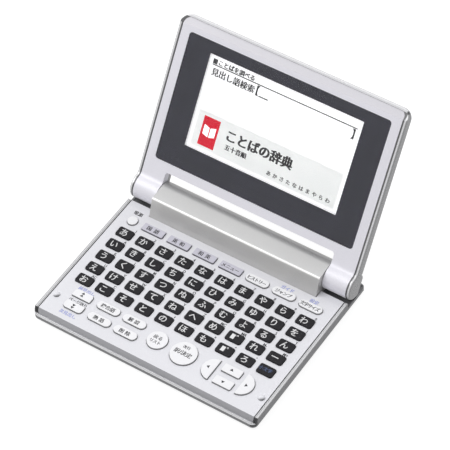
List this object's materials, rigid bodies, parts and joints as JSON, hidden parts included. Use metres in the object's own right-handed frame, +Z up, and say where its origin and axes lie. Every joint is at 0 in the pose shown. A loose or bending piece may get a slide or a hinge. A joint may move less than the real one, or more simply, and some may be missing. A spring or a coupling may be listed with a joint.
{
  "type": "electronic dictionary",
  "caption": "Pocket electronic dictionary: a flat keyboard base with a fixed hinge barrel and a lid with a wide display that folds down on round knuckles.",
  "frame": {"origin": "middle of the opened dictionary's footprint, at desk level under its rubber feet", "axes": "+X to the user's right along the hinge, +Y away from the user, +Z up"},
  "size_m": [0.11, 0.123, 0.0759],
  "materials": {
    "casing_silver": "satin metallic paint",
    "rail_silver": "bright metallic paint",
    "pearl_panel": "pearl white paint with a soft sheen",
    "lid_silver": "metallic paint",
    "barrel_champagne": "warm silver metallic paint",
    "foot_rubber": "matte",
    "bumper_rubber": "matte",
    "silicone_sheet": "matte",
    "circuit_board": "solder resist",
    "ribbon_film": "polyimide film",
    "cell_jacket": "printed steel can, plain",
    "spring_steel": "nickel plated",
    "clear_window": "clear acrylic",
    "mask_print": "dark slate print",
    "display_cell": "reflective monochrome display",
    "key_black": "dark key caps with white marks",
    "key_grey": "grey violet key caps",
    "key_white": "white key caps"
  },
  "bodies": {
    "base": {"base_lower_case": "casing_silver", "rubber_feet": "foot_rubber", "case_screws": "spring_steel", "base_trim_frame": "rail_silver", "keyboard_panel": "pearl_panel", "lid_bumpers": "bumper_rubber", "key_contact_sheet": "silicone_sheet", "main_board": "circuit_board", "hinge_barrel_cover": "barrel_champagne", "battery_cell": "cell_jacket", "battery_contacts": "spring_steel", "hinge_clutch_left": "spring_steel", "hinge_clutch_right": "spring_steel"},
    "lid": {"lid_bezel": "pearl_panel", "lid_trim_frame": "rail_silver", "lid_back_cover": "lid_silver", "lid_screws": "spring_steel", "display_window": "clear_window", "window_mask": "mask_print", "display_glass": "display_cell", "display_board": "circuit_board", "display_ribbon": "ribbon_film", "hinge_shaft_left": "spring_steel", "hinge_shaft_right": "spring_steel"},
    "battery_cover_body": {"battery_cover": "casing_silver"},
    "power_key_body": {"power_key": "key_white"},
    "mode_key_1_body": {"mode_key_1": "key_grey"},
    "mode_key_2_body": {"mode_key_2": "key_grey"},
    "mode_key_3_body": {"mode_key_3": "key_grey"},
    "mode_key_4_body": {"mode_key_4": "key_grey"},
    "tool_key_1_body": {"tool_key_1": "key_white"},
    "tool_key_2_body": {"tool_key_2": "key_white"},
    "tool_key_3_body": {"tool_key_3": "key_white"},
    "page_up_key_body": {"page_up_key": "key_white"},
    "page_down_key_body": {"page_down_key": "key_white"},
    "option_key_1_body": {"option_key_1": "key_white"},
    "option_key_2_body": {"option_key_2": "key_white"},
    "option_key_3_body": {"option_key_3": "key_white"},
    "option_key_4_body": {"option_key_4": "key_white"},
    "back_key_body": {"back_key": "key_white"},
    "enter_key_body": {"enter_key": "key_white"},
    "arrow_left_key_body": {"arrow_left_key": "key_white"},
    "arrow_right_key_body": {"arrow_right_key": "key_white"},
    "arrow_up_key_body": {"arrow_up_key": "key_white"},
    "arrow_down_key_body": {"arrow_down_key": "key_white"},
    "letter_column_1_body": {"letter_column_1": "key_black"},
    "letter_column_2_body": {"letter_column_2": "key_black"},
    "letter_column_3_body": {"letter_column_3": "key_black"},
    "letter_column_4_body": {"letter_column_4": "key_black"},
    "letter_column_5_body": {"letter_column_5": "key_black"},
    "letter_column_6_body": {"letter_column_6": "key_black"},
    "letter_column_7_body": {"letter_column_7": "key_black"},
    "letter_column_8_body": {"letter_column_8": "key_black"},
    "letter_column_9_body": {"letter_column_9": "key_black"},
    "letter_column_10_body": {"letter_column_10": "key_black"}
  },
  "joints": [
    {"name": "lid_hinge", "type": "hinge", "parent": "base", "child": "lid", "pos_m": [0, 0.01539, 0.0101], "axis": [-1, 0, 0], "range_deg": [-123.8, 26.2]},
    {"name": "battery_cover_slide", "type": "slide", "parent": "base", "child": "battery_cover_body", "axis": [0, 1, 0], "range_m": [0, 0.006]},
    {"name": "power_key_press", "type": "slide", "parent": "base", "child": "power_key_body", "axis": [0, 0, -1], "range_m": [0, 0.0007], "stiffness_N_per_m": 600, "springref_m": -0.0004},
    {"name": "mode_key_1_press", "type": "slide", "parent": "base", "child": "mode_key_1_body", "axis": [0, 0, -1], "range_m": [0, 0.0007], "stiffness_N_per_m": 600, "springref_m": -0.0004},
    {"name": "mode_key_2_press", "type": "slide", "parent": "base", "child": "mode_key_2_body", "axis": [0, 0, -1], "range_m": [0, 0.0007], "stiffness_N_per_m": 600, "springref_m": -0.0004},
    {"name": "mode_key_3_press", "type": "slide", "parent": "base", "child": "mode_key_3_body", "axis": [0, 0, -1], "range_m": [0, 0.0007], "stiffness_N_per_m": 600, "springref_m": -0.0004},
    {"name": "mode_key_4_press", "type": "slide", "parent": "base", "child": "mode_key_4_body", "axis": [0, 0, -1], "range_m": [0, 0.0007], "stiffness_N_per_m": 600, "springref_m": -0.0004},
    {"name": "tool_key_1_press", "type": "slide", "parent": "base", "child": "tool_key_1_body", "axis": [0, 0, -1], "range_m": [0, 0.0007], "stiffness_N_per_m": 600, "springref_m": -0.0004},
    {"name": "tool_key_2_press", "type": "slide", "parent": "base", "child": "tool_key_2_body", "axis": [0, 0, -1], "range_m": [0, 0.0007], "stiffness_N_per_m": 600, "springref_m": -0.0004},
    {"name": "tool_key_3_press", "type": "slide", "parent": "base", "child": "tool_key_3_body", "axis": [0, 0, -1], "range_m": [0, 0.0007], "stiffness_N_per_m": 600, "springref_m": -0.0004},
    {"name": "page_up_key_press", "type": "slide", "parent": "base", "child": "page_up_key_body", "axis": [0, 0, -1], "range_m": [0, 0.0007], "stiffness_N_per_m": 600, "springref_m": -0.0004},
    {"name": "page_down_key_press", "type": "slide", "parent": "base", "child": "page_down_key_body", "axis": [0, 0, -1], "range_m": [0, 0.0007], "stiffness_N_per_m": 600, "springref_m": -0.0004},
    {"name": "option_key_1_press", "type": "slide", "parent": "base", "child": "option_key_1_body", "axis": [0, 0, -1], "range_m": [0, 0.0007], "stiffness_N_per_m": 600, "springref_m": -0.0004},
    {"name": "option_key_2_press", "type": "slide", "parent": "base", "child": "option_key_2_body", "axis": [0, 0, -1], "range_m": [0, 0.0007], "stiffness_N_per_m": 600, "springref_m": -0.0004},
    {"name": "option_key_3_press", "type": "slide", "parent": "base", "child": "option_key_3_body", "axis": [0, 0, -1], "range_m": [0, 0.0007], "stiffness_N_per_m": 600, "springref_m": -0.0004},
    {"name": "option_key_4_press", "type": "slide", "parent": "base", "child": "option_key_4_body", "axis": [0, 0, -1], "range_m": [0, 0.0007], "stiffness_N_per_m": 600, "springref_m": -0.0004},
    {"name": "back_key_press", "type": "slide", "parent": "base", "child": "back_key_body", "axis": [0, 0, -1], "range_m": [0, 0.0007], "stiffness_N_per_m": 600, "springref_m": -0.0004},
    {"name": "enter_key_press", "type": "slide", "parent": "base", "child": "enter_key_body", "axis": [0, 0, -1], "range_m": [0, 0.0007], "stiffness_N_per_m": 600, "springref_m": -0.0004},
    {"name": "arrow_left_key_press", "type": "slide", "parent": "base", "child": "arrow_left_key_body", "axis": [0, 0, -1], "range_m": [0, 0.0007], "stiffness_N_per_m": 600, "springref_m": -0.0004},
    {"name": "arrow_right_key_press", "type": "slide", "parent": "base", "child": "arrow_right_key_body", "axis": [0, 0, -1], "range_m": [0, 0.0007], "stiffness_N_per_m": 600, "springref_m": -0.0004},
    {"name": "arrow_up_key_press", "type": "slide", "parent": "base", "child": "arrow_up_key_body", "axis": [0, 0, -1], "range_m": [0, 0.0007], "stiffness_N_per_m": 600, "springref_m": -0.0004},
    {"name": "arrow_down_key_press", "type": "slide", "parent": "base", "child": "arrow_down_key_body", "axis": [0, 0, -1], "range_m": [0, 0.0007], "stiffness_N_per_m": 600, "springref_m": -0.0004},
    {"name": "letter_column_1_press", "type": "slide", "parent": "base", "child": "letter_column_1_body", "axis": [0, 0, -1], "range_m": [0, 0.0007], "stiffness_N_per_m": 3000, "springref_m": -0.0004},
    {"name": "letter_column_2_press", "type": "slide", "parent": "base", "child": "letter_column_2_body", "axis": [0, 0, -1], "range_m": [0, 0.0007], "stiffness_N_per_m": 3000, "springref_m": -0.0004},
    {"name": "letter_column_3_press", "type": "slide", "parent": "base", "child": "letter_column_3_body", "axis": [0, 0, -1], "range_m": [0, 0.0007], "stiffness_N_per_m": 3000, "springref_m": -0.0004},
    {"name": "letter_column_4_press", "type": "slide", "parent": "base", "child": "letter_column_4_body", "axis": [0, 0, -1], "range_m": [0, 0.0007], "stiffness_N_per_m": 3000, "springref_m": -0.0004},
    {"name": "letter_column_5_press", "type": "slide", "parent": "base", "child": "letter_column_5_body", "axis": [0, 0, -1], "range_m": [0, 0.0007], "stiffness_N_per_m": 3000, "springref_m": -0.0004},
    {"name": "letter_column_6_press", "type": "slide", "parent": "base", "child": "letter_column_6_body", "axis": [0, 0, -1], "range_m": [0, 0.0007], "stiffness_N_per_m": 3000, "springref_m": -0.0004},
    {"name": "letter_column_7_press", "type": "slide", "parent": "base", "child": "letter_column_7_body", "axis": [0, 0, -1], "range_m": [0, 0.0007], "stiffness_N_per_m": 3000, "springref_m": -0.0004},
    {"name": "letter_column_8_press", "type": "slide", "parent": "base", "child": "letter_column_8_body", "axis": [0, 0, -1], "range_m": [0, 0.0007], "stiffness_N_per_m": 3000, "springref_m": -0.0004},
    {"name": "letter_column_9_press", "type": "slide", "parent": "base", "child": "letter_column_9_body", "axis": [0, 0, -1], "range_m": [0, 0.0007], "stiffness_N_per_m": 3000, "springref_m": -0.0004},
    {"name": "letter_column_10_press", "type": "slide", "parent": "base", "child": "letter_column_10_body", "axis": [0, 0, -1], "range_m": [0, 0.0007], "stiffness_N_per_m": 3000, "springref_m": -0.0004}
  ]
}
